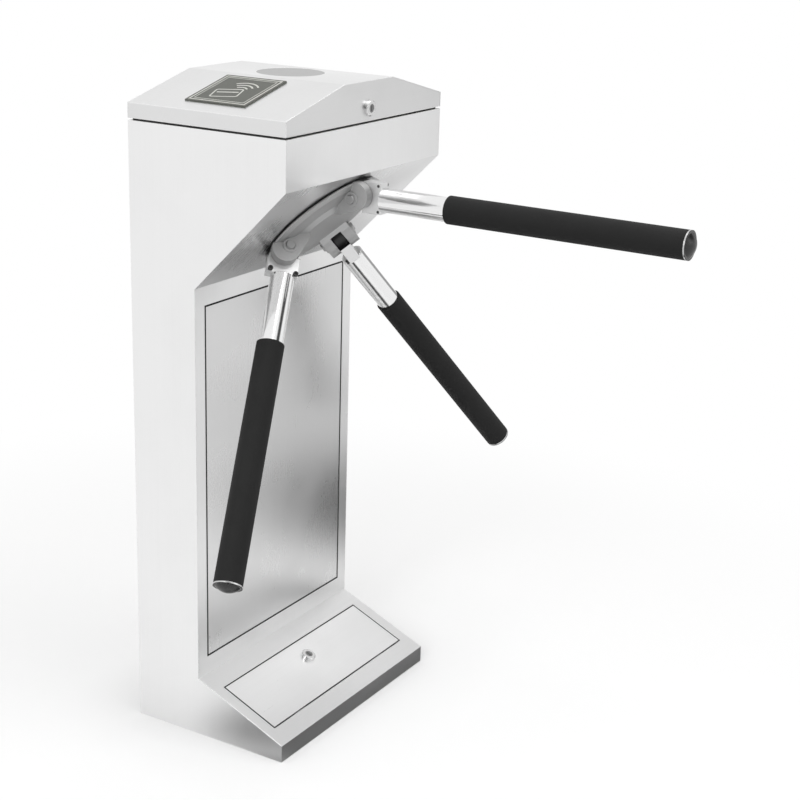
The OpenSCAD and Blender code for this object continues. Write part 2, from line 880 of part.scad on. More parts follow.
module encoder_disc() {
    color("black") at_hub() difference() {
        disc(encoder_depth, encoder_depth + encoder_t, encoder_r);
        disc(encoder_depth - past, encoder_depth + encoder_t + past, shaft_r + running_fit);
        for (i = [0:11]) rotate([0, 0, 30 * i])
            slab(encoder_depth - past, encoder_depth + encoder_t + past,
                 encoder_r - window_in - window_l, encoder_r - window_in, -window_half, window_half);
    }
}

// Spacers between the pieces on the shaft, and the nut that clamps them
module shaft_spacers() {
    nut_back = encoder_depth + encoder_t + shaft_nut_t;
    color(bright) at_hub() difference() {
        union() {
            disc(housing_back + part_gap, cam_depth, spacer_r);
            disc(cam_depth + cam_t, lock_depth, spacer_r);
            disc(lock_depth + lock_t, encoder_depth, spacer_r);
            translate([0, 0, -nut_back]) cylinder(h = shaft_nut_t, r = spacer_r + 2, $fn = 6);
        }
        disc(0, shaft_end + past, shaft_r + running_fit);
    }
}

module pivot_pins() {
    half = cheek_w + boss_h - spot_face;
    color(steel) for (i = [0:2]) at_arm(i) translate([0, 0, pivot_s]) rotate([0, 90, 0]) {
        cylinder(h = 2 * half + pin_head_h, r = pin_r, center = true);
        for (s = [0, 1]) mirror([0, 0, s]) translate([0, 0, half])
            cylinder(h = pin_head_h, r1 = pin_head_r, r2 = pin_head_r - pin_chamfer);
    }
}

module index_lever() {
    arm_v = roller_at - lever_pivot;
    turn = atan2(arm_v[1], arm_v[0]);
    color(steel) at_hub() difference() {
        union() {
            translate([0, 0, -lever_depth - lever_t]) linear_extrude(height = lever_t) {
                translate(lever_pivot) circle(r = post_boss_r + 1);
                translate(lever_pivot) rotate([0, 0, turn]) translate([0, -lever_w / 2])
                    square([norm(arm_v), lever_w]);
                translate(roller_at) circle(r = lever_w / 2 + 1);
            }
            translate(lever_pivot) disc(rear_back + 1, lever_depth + 1, post_boss_r);
            translate(roller_at) disc(cam_depth - 1, lever_depth + 1, roller_pin_r);
        }
        translate(lever_pivot) disc(rear_back, lever_depth + lever_t + past, post_r + bore_fit);
    }
}

module index_roller() {
    color(bright) at_hub() translate(roller_at) difference() {
        disc(cam_depth, cam_depth + cam_t - part_gap, roller_r);
        disc(cam_depth - past, cam_depth + cam_t + past, roller_pin_r + bore_fit);
    }
}

module pawl(side) {
    px = pawl_pivot[0];
    py = pawl_pivot[1];
    back = lock_depth + lock_t;
    tooth_x = lock_r + tooth_gap;
    tip = [px + tail[0], py + tail[1]];
    color("slategray") at_hub() mirror([side < 0 ? 1 : 0, 0, 0]) difference() {
        union() {
            translate([px, py, 0]) disc(rear_back + 1, back, post_boss_r);
            slab(lock_depth, back, tooth_x + tooth_l, tooth_x + tooth_l + pawl_bar, -tooth_h / 2, py);
            slab(lock_depth, back, tooth_x, tooth_x + tooth_l + 1, -tooth_h / 2, tooth_h / 2);
            translate([0, 0, -back]) linear_extrude(height = lock_t) polygon([
                [px, py - tail_half], [tip[0] + tail_end, tip[1] - tail_half],
                [tip[0] + tail_end, tip[1] + tail_half], [px, py + tail_half + 2]
            ]);
        }
        translate([px, py, 0]) disc(rear_back, back + past, post_r + bore_fit);
        slab(lock_depth - past, back + past, tip[0] - tail_slot[0], tip[0] + tail_slot[0],
             tip[1] - tail_slot[1], tip[1] + tail_slot[1]);
    }
}
module pawl_left() pawl(-1);
module pawl_right() pawl(1);

module plunger(side) {
    mid = lock_depth + lock_t / 2;
    half = lock_t / 2 + 0.5;
    foot = solenoid_y0 + solenoid_end + plunger_room + plunger_travel;
    top = mid + half + fork_t;
    bottom = mid - half - fork_t;
    color(bright) at_hub() translate([side * plunger_x, 0, 0]) {
        translate([0, foot, -mid]) rotate([-90, 0, 0])
            cylinder(h = pin_y - foot - fork_foot + 2 * weld_lap + 1, r = plunger_r);
        slab(bottom, top, -fork_half, fork_half, pin_y - fork_foot, pin_y - fork_neck);
        for (d = [bottom, mid + half])
            slab(d, d + fork_t, -fork_half, fork_half, pin_y - fork_neck - weld_lap, pin_y + fork_top);
        translate([0, pin_y, 0]) disc(bottom, top, plunger_pin_r);
    }
}
module plunger_left() plunger(-1);
module plunger_right() plunger(1);

module lid_prism(y0, y1, d) {
    translate([0, y1, 0]) rotate([90, 0, 0]) linear_extrude(height = y1 - y0)
        polygon(inset_all(lid_outline, d));
}

module lid_shell() {
    x = body_w / 2 - lip_w;
    color(bright) difference() {
        lid_prism(front_y, back_y, 0);
        lid_prism(front_y + sheet, back_y - sheet, sheet);
        block([-x, front_y + lip_w, lid_bottom - past], [x, back_y - lip_w, lid_bottom + sheet + past]);
        translate([0, 0, total_h - 3 * sheet]) cylinder(h = 4 * sheet, r = lens_r + slide_fit);
        plaque_block(reader_margin, -2 * sheet, past);
        translate([0, front_y - past, lid_lock_z]) rotate([-90, 0, 0])
            cylinder(h = sheet + 2 * past, r = lock_barrel_r + running_fit);
    }
}

// A block of the plaque's outline less a margin, between two heights over the lid's left slope
module plaque_block(margin, z0, z1) {
    at_lid_slope() block(
        [-plaque_from_ridge - plaque_l + margin, plaque_at_y - plaque_w / 2 + margin, z0],
        [-plaque_from_ridge - margin, plaque_at_y + plaque_w / 2 - margin, z1]
    );
}

module reader_plaque() {
    color("darkslategray") plaque_block(0, 0, plaque_t);
}

module reader_module() {
    color("black") plaque_block(1, -sheet - reader_h, -sheet);
}

module indicator_lens() {
    bottom = total_h - sheet - lens_t;
    color("darkgray") {
        translate([0, 0, bottom]) cylinder(h = lens_t + sheet, r = lens_r);
        translate([0, 0, bottom]) cylinder(h = lens_t, r = lens_r + lens_lip);
        translate([0, 0, bottom - led_h]) cylinder(h = led_h + weld_lap, r = lens_r - led_inset);
    }
}

module lock_barrel(l) {
    color(bright) {
        difference() {
            union() {
                cylinder(h = lock_head_h - lock_chamfer, r = lock_head_r);
                translate([0, 0, lock_head_h - lock_chamfer])
                    cylinder(h = lock_chamfer, r1 = lock_head_r, r2 = lock_head_r - lock_chamfer);
                translate([0, 0, -l]) cylinder(h = l + weld_lap, r = lock_barrel_r);
            }
            translate([0, 0, -l - past]) cylinder(h = l + lock_head_h + 2 * past, r = lock_plug_r + bore_fit);
        }
        translate([0, 0, -sheet - lock_nut_t]) difference() {
            cylinder(h = lock_nut_t, r = lock_nut_r, $fn = 6);
            translate([0, 0, -past]) cylinder(h = lock_nut_t + 2 * past, r = lock_barrel_r + running_fit);
        }
    }
}

module lock_plug(l) {
    difference() {
        translate([0, 0, -l - plug_end]) cylinder(h = l + plug_end + lock_head_h - plug_step, r = lock_plug_r);
        translate([-keyway_w / 2, -keyway_l / 2, lock_head_h - keyway_deep])
            cube([keyway_w, keyway_l, keyway_deep + past]);
    }
}

module at_lid_lock() {
    translate([0, front_y, lid_lock_z]) rotate([90, 0, 0]) children();
}

module at_hatch_lock() {
    at_slope() translate([0, -hatch_lock_y, 0]) children();
}

module lid_lock_barrel() at_lid_lock() lock_barrel(lock_barrel_l);

// The lid lock's plug, with a hook that turns round the pin under the rim
module lid_lock_plug() {
    outer = keeper_r + hook_slot + hook_wall;
    far = 2 * outer;
    color(steel) at_lid_lock() {
        lock_plug(lock_barrel_l);
        translate([0, 0, -lock_barrel_l - plug_end - lock_cam_t]) linear_extrude(height = lock_cam_t) {
            circle(r = lock_plug_r + 2);
            intersection() {
                difference() {
                    circle(r = outer);
                    difference() {
                        circle(r = keeper_r + hook_slot);
                        circle(r = keeper_r - hook_slot);
                        polygon([[0, 0], [far, far * tan(hook_open)], [far, 0]]);
                    }
                }
                polygon([
                    [0, 0], [far * cos(hook_close), -far * sin(hook_close)],
                    [far, 0], [far * cos(hook_open), far * sin(hook_open)]
                ]);
            }
        }
    }
}

module hatch_plate() {
    y0 = -hatch_from_top - cover_gap;
    y1 = -hatch_from_top - hatch_l + cover_gap;
    x = hatch_w / 2 - cover_gap;
    under = -sheet - part_gap;
    color(bright) at_slope() difference() {
        union() {
            // The lower edge is rounded about the line that the hatch tilts on
            rotate([90, 0, 90]) linear_extrude(height = 2 * x, center = true) {
                translate([y1 + hatch_edge_r, -hatch_edge_r]) circle(r = hatch_edge_r);
                translate([y1 + hatch_edge_r, -2 * hatch_edge_r]) square([y0 - y1 - hatch_edge_r, 2 * hatch_edge_r]);
            }
            for (s = [-1, 1]) translate([s * tongue_x, 0, 0]) {
                block([-tongue_w / 2, y1 - tongue_l, under - sheet], [tongue_w / 2, y1 + tongue_lap, under]);
                block([-tongue_w / 2, y1, under - weld_lap], [tongue_w / 2, y1 + tongue_lap, -sheet / 2]);
            }
        }
        translate([0, -hatch_lock_y, -4 * sheet]) cylinder(h = 6 * sheet, r = lock_barrel_r + running_fit);
    }
}

module hatch_lock_barrel() {
    at_hatch_lock() lock_barrel(hatch_barrel_l);
}

module hatch_lock_plug() {
    color(steel) at_hatch_lock() {
        lock_plug(hatch_barrel_l);
        translate([0, 0, -hatch_barrel_l - plug_end - lock_cam_t]) linear_extrude(height = lock_cam_t) {
            translate([0, -cam_w / 2]) square([hatch_cam_l, cam_w]);
            circle(r = cam_w / 2 + 1);
        }
    }
}

module arm_root(i) {
    color(bright) at_arm(i) difference() {
        union() {
            translate([0, 0, pivot_s]) rotate([0, 90, 0]) cylinder(h = root_w, r = eye_r, center = true);
            block([-root_w / 2, -neck_h / 2, pivot_s],
                  [root_w / 2, neck_h / 2, pivot_s + block_start + weld_lap]);
            block([-root_w / 2, -root_low, pivot_s + block_start], [root_w / 2, root_h / 2, root_end]);
            translate([0, 0, root_end - weld_lap])
                cylinder(h = spigot_l + weld_lap, r = tube_r - tube_wall - running_fit);
        }
        translate([0, 0, pivot_s]) rotate([0, 90, 0])
            cylinder(h = 2 * root_w, r = pin_r + bore_fit, center = true);
    }
}

module arm_tube(i) {
    color("lightgray") at_arm(i) translate([0, 0, root_end]) difference() {
        cylinder(h = sleeve_s1 - root_end, r = tube_r);
        translate([0, 0, -past]) cylinder(h = sleeve_s1 - root_end + 2 * past, r = tube_r - tube_wall);
    }
}

module arm_sleeve(i) {
    color([0.09, 0.09, 0.09]) at_arm(i) translate([0, 0, sleeve_s0]) difference() {
        cylinder(h = sleeve_s1 - sleeve_s0, r = sleeve_r);
        translate([0, 0, -past]) cylinder(h = sleeve_s1 - sleeve_s0 + 2 * past, r = tube_r + sleeve_wall_fit);
    }
}

module arm_cap(i) {
    dome_r = sleeve_r - 3;
    ball = (dome_r * dome_r + cap_dome * cap_dome) / (2 * cap_dome);
    color("gray") at_arm(i) translate([0, 0, sleeve_s1]) {
        cylinder(h = cap_t, r = sleeve_r);
        intersection() {
            translate([0, 0, cap_t + cap_dome - ball]) sphere(r = ball);
            cylinder(h = cap_t + cap_dome + past, r = dome_r);
        }
        translate([0, 0, -cap_plug_l])
            cylinder(h = cap_plug_l + weld_lap, r = tube_r - tube_wall - running_fit);
    }
}

base_plate();
left_side_panel();
right_side_panel();
back_panel();
front_panel();
hub_face_panel();
recess_frame();
access_panel();
foot_frame();
rim_frame();
lid_seal();
cabinet_fasteners();
mechanism_brackets();
mechanism_plate();
bearing_housing();
shaft_bearings();
pillars_and_posts();
rear_plate();
damper_bracket();
rotary_damper();
solenoids();
encoder_sensor();
control_board();
power_supply();
lid_hinge_fixed();
hub_body();
main_shaft();
index_cam();
lock_disc();
encoder_disc();
shaft_spacers();
pivot_pins();
index_lever();
index_roller();
pawl_left();
pawl_right();
plunger_left();
plunger_right();
lid_shell();
reader_plaque();
reader_module();
indicator_lens();
lid_hinge_moving();
lid_lock_barrel();
lid_lock_plug();
hatch_plate();
hatch_lock_barrel();
hatch_lock_plug();
arm_root(0);  // arm_root_1
arm_root(1);  // arm_root_2
arm_root(2);  // arm_root_3
arm_tube(0);  // arm_tube_1
arm_tube(1);  // arm_tube_2
arm_tube(2);  // arm_tube_3
arm_sleeve(0);  // arm_sleeve_1
arm_sleeve(1);  // arm_sleeve_2
arm_sleeve(2);  // arm_sleeve_3
arm_cap(0);  // arm_cap_1
arm_cap(1);  // arm_cap_2
arm_cap(2);  // arm_cap_3
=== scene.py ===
"""Dresses the tripod turnstile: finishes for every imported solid, and the small pieces that they leave out.

Everything is in metres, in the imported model's frame: the origin is the middle of the cabinet's footprint,
+Z is up, -Y faces the passage and the walk runs along X.
"""

import math

import bmesh
import bpy
from mathutils import Matrix, Vector


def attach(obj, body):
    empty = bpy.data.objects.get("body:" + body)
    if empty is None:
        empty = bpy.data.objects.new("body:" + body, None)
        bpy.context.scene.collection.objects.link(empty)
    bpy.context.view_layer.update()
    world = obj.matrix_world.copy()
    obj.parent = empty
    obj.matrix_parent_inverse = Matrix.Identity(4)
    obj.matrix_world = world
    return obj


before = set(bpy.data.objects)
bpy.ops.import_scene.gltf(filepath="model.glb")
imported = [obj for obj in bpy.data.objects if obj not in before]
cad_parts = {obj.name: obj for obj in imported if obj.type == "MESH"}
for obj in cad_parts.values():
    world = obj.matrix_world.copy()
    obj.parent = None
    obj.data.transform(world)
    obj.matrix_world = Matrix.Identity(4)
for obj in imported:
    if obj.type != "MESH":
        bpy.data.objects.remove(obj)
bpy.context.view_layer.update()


# The camera of the photograph: to the left of the walk and above the lid, looking down on the front corner.
# The lens is a short telephoto, and the picture is square.
camera_place = Vector((-1.9777, -1.3877, 1.2715))
camera_yaw = math.radians(58.999)
camera_pitch = math.radians(-17.946)
camera_roll = math.radians(1.703)
looking = Vector((
    math.sin(camera_yaw) * math.cos(camera_pitch),
    math.cos(camera_yaw) * math.cos(camera_pitch),
    math.sin(camera_pitch),
))
level_right = Vector((math.cos(camera_yaw), -math.sin(camera_yaw), 0.0))
level_up = level_right.cross(looking)
camera_right = math.cos(camera_roll) * level_right + math.sin(camera_roll) * level_up
camera_up = -math.sin(camera_roll) * level_right + math.cos(camera_roll) * level_up
camera_data = bpy.data.cameras.new("camera")
camera_data.lens = 74.78
camera_data.sensor_width = 36.0
camera_data.clip_end = 60.0
camera = bpy.data.objects.new("camera", camera_data)
camera_turn = Matrix((camera_right, camera_up, -looking)).transposed()
camera.matrix_world = Matrix.Translation(camera_place) @ camera_turn.to_4x4()
bpy.context.scene.collection.objects.link(camera)
bpy.context.scene.camera = camera
bpy.context.scene.view_settings.view_transform = "Standard"


# The studio: a pale floor without an edge, a white surround, and three large soft lamps.
# The world is white to the camera and in reflections, and lights the object more gently.
def place(tree, kind, inputs=None, **settings):
    """Adds a shader node. Each input is a plain number or colour, or the output of another node."""
    node = tree.nodes.new(kind)
    for setting, value in settings.items():
        setattr(node, setting, value)
    for socket, value in (inputs or {}).items():
        if isinstance(value, bpy.types.NodeSocket):
            tree.links.new(value, node.inputs[socket])
        else:
            node.inputs[socket].default_value = value
    return node


def reckon(tree, operation, first, second=0.0, third=0.0):
    return place(tree, "ShaderNodeMath", {0: first, 1: second, 2: third}, operation=operation).outputs[0]


def empty_tree(owner):
    """The cleared shader tree of a world or a material."""
    owner.use_nodes = True
    owner.node_tree.nodes.clear()
    return owner.node_tree


def seen_directly(tree):
    """1 for what the camera sees, straight or in a reflection or through glass, and 0 for soft light."""
    rays = place(tree, "ShaderNodeLightPath")
    seen = reckon(tree, "MAXIMUM", rays.outputs["Is Camera Ray"], rays.outputs["Is Glossy Ray"])
    return reckon(tree, "MAXIMUM", seen, rays.outputs["Is Transmission Ray"])


def distance_from_middle(tree):
    """How far a spot lies from its object's origin."""
    spot = place(tree, "ShaderNodeTexCoord")
    length = place(tree, "ShaderNodeVectorMath", {0: spot.outputs["Object"]}, operation="LENGTH")
    return length.outputs["Value"]


def fade_between(tree, distance, start, end):
    """0 up to the start's distance and 1 beyond the end's, with a soft change."""
    return place(tree, "ShaderNodeMapRange", {
        "Value": distance, "From Min": start, "From Max": end}, interpolation_type="SMOOTHSTEP").outputs[0]


def mix_shaders(tree, mask, first, second):
    return place(tree, "ShaderNodeMixShader", {0: mask, 1: first.outputs[0], 2: second.outputs[0]})


world = bpy.data.worlds.new("white_surround")
bpy.context.scene.world = world
world_tree = empty_tree(world)
full_white = (1.0, 1.0, 1.0, 1.0)
soft_strength = 0.55
world_seen = seen_directly(world_tree)
soft_light = place(world_tree, "ShaderNodeBackground", {"Color": full_white, "Strength": soft_strength})
white = place(world_tree, "ShaderNodeBackground", {"Color": full_white, "Strength": 1.0})
surround = mix_shaders(world_tree, world_seen, soft_light, white)
place(world_tree, "ShaderNodeOutputWorld", {"Surface": surround.outputs[0]})

floor_mesh = bpy.data.meshes.new("floor")
floor_reach = 14.0
floor_mesh.from_pydata([
    (-floor_reach, -floor_reach, 0), (floor_reach, -floor_reach, 0),
    (floor_reach, floor_reach, 0), (-floor_reach, floor_reach, 0),
], [], [(0, 1, 2, 3)])
floor = bpy.data.objects.new("floor", floor_mesh)
bpy.context.scene.collection.objects.link(floor)
floor_paint = bpy.data.materials.new("floor_paint")
floor_tree = empty_tree(floor_paint)
fade_start = 0.55
fade_end = 1.4
painted_shadow_reach = 0.14
open_lift = 0.34
closed_lift = -0.07
floor_seen = seen_directly(floor_tree)
floor_fade = fade_between(floor_tree, distance_from_middle(floor_tree), fade_start, fade_end)
matt_floor = place(floor_tree, "ShaderNodeBsdfDiffuse", {"Color": (0.8, 0.8, 0.8, 1.0)})
# Near the object, ambient occlusion cuts the floor's white lift: a painted contact shadow.
openness = place(floor_tree, "ShaderNodeAmbientOcclusion", {"Distance": painted_shadow_reach}).outputs["AO"]
lift_with_painted_shadow = reckon(floor_tree, "MULTIPLY_ADD", openness, open_lift, closed_lift)
floor_lift = reckon(floor_tree, "MULTIPLY", lift_with_painted_shadow, floor_seen)
lift = place(floor_tree, "ShaderNodeEmission", {"Color": full_white, "Strength": floor_lift})
near_floor = place(floor_tree, "ShaderNodeAddShader", {0: matt_floor.outputs[0], 1: lift.outputs[0]})
far_floor = place(floor_tree, "ShaderNodeEmission", {"Color": full_white, "Strength": 1.0})
floor_part = reckon(floor_tree, "MULTIPLY", floor_seen, floor_fade)
whole_floor = mix_shaders(floor_tree, floor_part, near_floor, far_floor)
place(floor_tree, "ShaderNodeOutputMaterial", {"Surface": whole_floor.outputs[0]})
floor_mesh.materials.append(floor_paint)


# Dark cards stand round the object, as a photographer sets them to give steel its darker tones.
# They show only in reflections, and each fades out towards its rim.
def dark_card(name, where, aim, tone, core, rim):
    """A square card that faces the aim: its tone is solid to the core's radius and gone at the rim's."""
    mesh = bpy.data.meshes.new(name)
    mesh.from_pydata([(-rim, -rim, 0), (rim, -rim, 0), (rim, rim, 0), (-rim, rim, 0)], [], [(0, 1, 2, 3)])
    card = bpy.data.objects.new(name, mesh)
    card.location = where
    card.rotation_euler = (Vector(aim) - Vector(where)).to_track_quat("Z", "Y").to_euler()
    card.visible_camera = False
    card.visible_diffuse = False
    card.visible_shadow = False
    bpy.context.scene.collection.objects.link(card)
    paint = bpy.data.materials.new(name + "_paint")
    paint.cycles.emission_sampling = "NONE"
    tree = empty_tree(paint)
    fade = fade_between(tree, distance_from_middle(tree), core, rim)
    grey = place(tree, "ShaderNodeEmission", {"Color": (tone, tone, tone, 1.0)})
    clear = place(tree, "ShaderNodeBsdfTransparent")
    whole = mix_shaders(tree, fade, grey, clear)
    place(tree, "ShaderNodeOutputMaterial", {"Surface": whole.outputs[0]})
    mesh.materials.append(paint)


card_step = 0.00015


def floor_card(name, x, y, layer, tone, core, rim):
    """A card that lies on the floor. Each layer lies one step higher, so that no two share a plane."""
    dark_card(name, (x, y, card_step * layer), (x, y, 1.0), tone, core, rim)


hub_middle = (0.0, -0.15, 0.8)
floor_card("far_floor_card", 2.25, -1.70, 2, 0.12, 0.10, 0.50)
floor_card("slant_floor_card", 0.82, -0.27, 3, 0.02, 0.14, 0.46)
floor_card("middle_floor_card", 1.25, -0.82, 0.5, 0.50, 0.10, 0.46)
floor_card("head_floor_card", 3.72, -2.88, 1, 0.42, 0.10, 0.75)
floor_card("left_floor_card", -0.29, -0.06, 10, 0.25, 0.03, 0.15)
floor_card("side_floor_card", 1.05, 0.22, 9, 0.30, 0.08, 0.34)
floor_card("near_floor_card", -0.13, -0.27, 4, 0.06, 0.08, 0.24)
toe_card_start = -0.10
toe_card_pitch = 0.12
for i in range(4):
    x = toe_card_start + toe_card_pitch * i
    floor_card("toe_floor_card_%d" % (i + 1), x, -0.13, 5 + i, 0.14, 0.05, 0.13)
dark_card("front_card", (0.50, -1.13, 1.33), hub_middle, 0.08, 0.22, 0.52)
dark_card("left_card", (-1.30, -0.90, 1.34), hub_middle, 0.02, 0.45, 0.95)
dark_card("right_card", (2.10, -0.42, 0.98), hub_middle, 0.34, 0.40, 0.90)


def softbox(name, place_at, aim_at, size, power):
    lamp_data = bpy.data.lights.new(name, "AREA")
    lamp_data.shape = "SQUARE"
    lamp_data.size = size
    lamp_data.energy = power
    lamp = bpy.data.objects.new(name, lamp_data)
    lamp.location = place_at
    lamp.rotation_euler = (Vector(aim_at) - Vector(place_at)).to_track_quat("-Z", "Y").to_euler()
    bpy.context.scene.collection.objects.link(lamp)


softbox("left_softbox", (-3.2, -0.6, 2.2), (0.0, 0.0, 0.5), 2.0, 45.0)
softbox("top_softbox", (0.2, -0.8, 3.4), (0.0, 0.0, 0.6), 2.2, 30.0)
softbox("front_softbox", (0.9, -3.4, 1.9), (0.0, 0.0, 0.6), 1.8, 8.0)


# Brushed stainless sheet: the cabinet's walls, cut, folded and welded, then brushed along one direction.
# The brushing leaves fine lines that are long one way, and handling leaves faint smudges and dust.
def new_group(name, inputs, outputs):
    group = bpy.data.node_groups.new(name, "ShaderNodeTree")
    for label, kind, value in inputs:
        group.interface.new_socket(label, in_out="INPUT", socket_type=kind).default_value = value
    for label, kind in outputs:
        group.interface.new_socket(label, in_out="OUTPUT", socket_type=kind)
    return group, place(group, "NodeGroupInput"), place(group, "NodeGroupOutput")


grain_group, grain_in, grain_out = new_group(
    "brushed_grain",
    [("Stretch", "NodeSocketVector", (600.0, 600.0, 5.0))],
    [("Line", "NodeSocketFloat"), ("Band", "NodeSocketFloat")])
grain_place = place(grain_group, "ShaderNodeTexCoord")
band_share = (0.16, 0.16, 0.16)
fine_lines = place(grain_group, "ShaderNodeVectorMath", {
    0: grain_place.outputs["Object"], 1: grain_in.outputs["Stretch"]}, operation="MULTIPLY")
wide_lines = place(grain_group, "ShaderNodeVectorMath", {
    0: fine_lines.outputs[0], 1: band_share}, operation="MULTIPLY")
fine_noise = place(grain_group, "ShaderNodeTexNoise", {
    "Vector": fine_lines.outputs[0], "Scale": 1.0, "Detail": 3.0, "Roughness": 0.6})
wide_noise = place(grain_group, "ShaderNodeTexNoise", {
    "Vector": wide_lines.outputs[0], "Scale": 1.0, "Detail": 2.0, "Roughness": 0.5})
grain_group.links.new(fine_noise.outputs[0], grain_out.inputs["Line"])
grain_group.links.new(wide_noise.outputs[0], grain_out.inputs["Band"])

smudge_group, smudge_in, smudge_out = new_group(
    "handling_marks",
    [("Scale", "NodeSocketFloat", 7.0)],
    [("Smudge", "NodeSocketFloat"), ("Dust", "NodeSocketFloat")])
smudge_place = place(smudge_group, "ShaderNodeTexCoord")
smudge_noise = place(smudge_group, "ShaderNodeTexNoise", {
    "Vector": smudge_place.outputs["Object"], "Scale": smudge_in.outputs["Scale"],
    "Detail": 5.0, "Roughness": 0.62, "Distortion": 0.4})
smudge_ramp = place(smudge_group, "ShaderNodeMapRange", {
    "Value": smudge_noise.outputs[0], "From Min": 0.42, "From Max": 0.72})
surface = place(smudge_group, "ShaderNodeNewGeometry")
facing = place(smudge_group, "ShaderNodeSeparateXYZ", {0: surface.outputs["Normal"]})
speck_noise = place(smudge_group, "ShaderNodeTexNoise", {
    "Vector": smudge_place.outputs["Object"], "Scale": 260.0, "Detail": 2.0})
speck = place(smudge_group, "ShaderNodeMapRange", {
    "Value": speck_noise.outputs[0], "From Min": 0.5, "From Max": 0.75})
upward = reckon(smudge_group, "MAXIMUM", facing.outputs["Z"], 0.0)
smudge_group.links.new(smudge_ramp.outputs[0], smudge_out.inputs["Smudge"])
smudge_group.links.new(reckon(smudge_group, "MULTIPLY", upward, speck.outputs[0]), smudge_out.inputs["Dust"])

edge_group, edge_in, edge_out = new_group(
    "rounded_edges",
    [("Radius", "NodeSocketFloat", 0.001)],
    [("Edge", "NodeSocketFloat"), ("Normal", "NodeSocketVector")])
edge_bevel = place(edge_group, "ShaderNodeBevel", {"Radius": edge_in.outputs["Radius"]}, samples=6)
edge_flat = place(edge_group, "ShaderNodeNewGeometry")
edge_turn = place(edge_group, "ShaderNodeVectorMath", {
    0: edge_bevel.outputs[0], 1: edge_flat.outputs["Normal"]}, operation="DOT_PRODUCT")
edge_mask = place(edge_group, "ShaderNodeMapRange", {
    "Value": edge_turn.outputs["Value"], "From Min": 0.995, "From Max": 0.8})
edge_group.links.new(edge_mask.outputs[0], edge_out.inputs["Edge"])
edge_group.links.new(edge_bevel.outputs[0], edge_out.inputs["Normal"])


def use(tree, group, inputs=None):
    node = place(tree, "ShaderNodeGroup", node_tree=group)
    for socket, value in (inputs or {}).items():
        node.inputs[socket].default_value = value
    return node


def vary(tree, middle, *swings):
    """A number that swings about its middle with each mask: (mask output, amount)."""
    total = middle
    for mask, amount in swings:
        total = reckon(tree, "MULTIPLY_ADD", mask, amount, total)
    return total


def tint(tree, colour, strength):
    """The colour times a strength that changes over the surface."""
    grey = place(tree, "ShaderNodeCombineXYZ", {0: strength, 1: strength, 2: strength})
    tinted = place(tree, "ShaderNodeVectorMath", {0: grey.outputs[0], 1: colour}, operation="MULTIPLY")
    return tinted.outputs[0]


def brushed_steel(name, colour, stretch, roughness, edge_radius=0.0006, lines=0.035, painted_edge_highlight=0.12):
    material = bpy.data.materials.new(name)
    material.use_nodes = True
    tree = material.node_tree
    shader = tree.nodes["Principled BSDF"]
    grain = use(tree, grain_group, {"Stretch": stretch})
    marks = use(tree, smudge_group)
    edges = use(tree, edge_group, {"Radius": edge_radius})
    # Along the edges the colour is brightened: a painted highlight.
    strength = vary(
        tree, 1.0 - lines * 0.65, (grain.outputs["Line"], lines), (grain.outputs["Band"], lines * 0.5),
        (marks.outputs["Smudge"], -0.02), (edges.outputs["Edge"], painted_edge_highlight))
    tree.links.new(tint(tree, colour, strength), shader.inputs["Base Color"])
    rough = vary(tree, roughness, (grain.outputs["Line"], 0.05), (marks.outputs["Smudge"], 0.05),
                 (marks.outputs["Dust"], 0.08), (edges.outputs["Edge"], -0.06))
    tree.links.new(rough, shader.inputs["Roughness"])
    bump = place(tree, "ShaderNodeBump", {
        "Strength": 0.012, "Distance": 0.00015,
        "Height": grain.outputs["Line"], "Normal": edges.outputs["Normal"]})
    tree.links.new(bump.outputs[0], shader.inputs["Normal"])
    shader.inputs["Metallic"].default_value = 1.0
    shader.inputs["Anisotropic"].default_value = 0.35
    return material


def coat(material, *nodes):
    """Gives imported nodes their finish."""
    for name in nodes:
        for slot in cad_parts[name].material_slots:
            slot.material = material


# These sheets are one stainless steel. Their base tones differ to stand in for how brightly each is lit:
# painted light and shade.
upright_stainless = brushed_steel("upright_stainless", (0.86, 0.86, 0.86), (650.0, 650.0, 4.0), 0.30)
coat(upright_stainless, "left_side_panel", "right_side_panel", "back_panel", "front_panel", "recess_frame")
slant_stainless = brushed_steel("slant_stainless", (0.78, 0.78, 0.78), (650.0, 9.0, 9.0), 0.24)
coat(slant_stainless, "hub_face_panel")
foot_stainless = brushed_steel("foot_stainless", (0.80, 0.80, 0.80), (5.0, 500.0, 500.0), 0.30)
coat(foot_stainless, "foot_frame", "base_plate")


# The two service covers: flat sheets of the same steel, with a gap all round, brushed like what they lie in.
# The recess cover is held from inside, and the foot's hatch by two tongues and a cam lock.
# The covers' tones differ from the sheets round them as painted light and shade: the recess cover is darker
# and the hatch lighter.
cover_stainless = brushed_steel("cover_stainless", (0.76, 0.76, 0.76), (600.0, 600.0, 4.0), 0.25, lines=0.025)
coat(cover_stainless, "access_panel")
hatch_stainless = brushed_steel("hatch_stainless", (0.87, 0.87, 0.87), (5.0, 500.0, 500.0), 0.26)
coat(hatch_stainless, "hatch_plate")
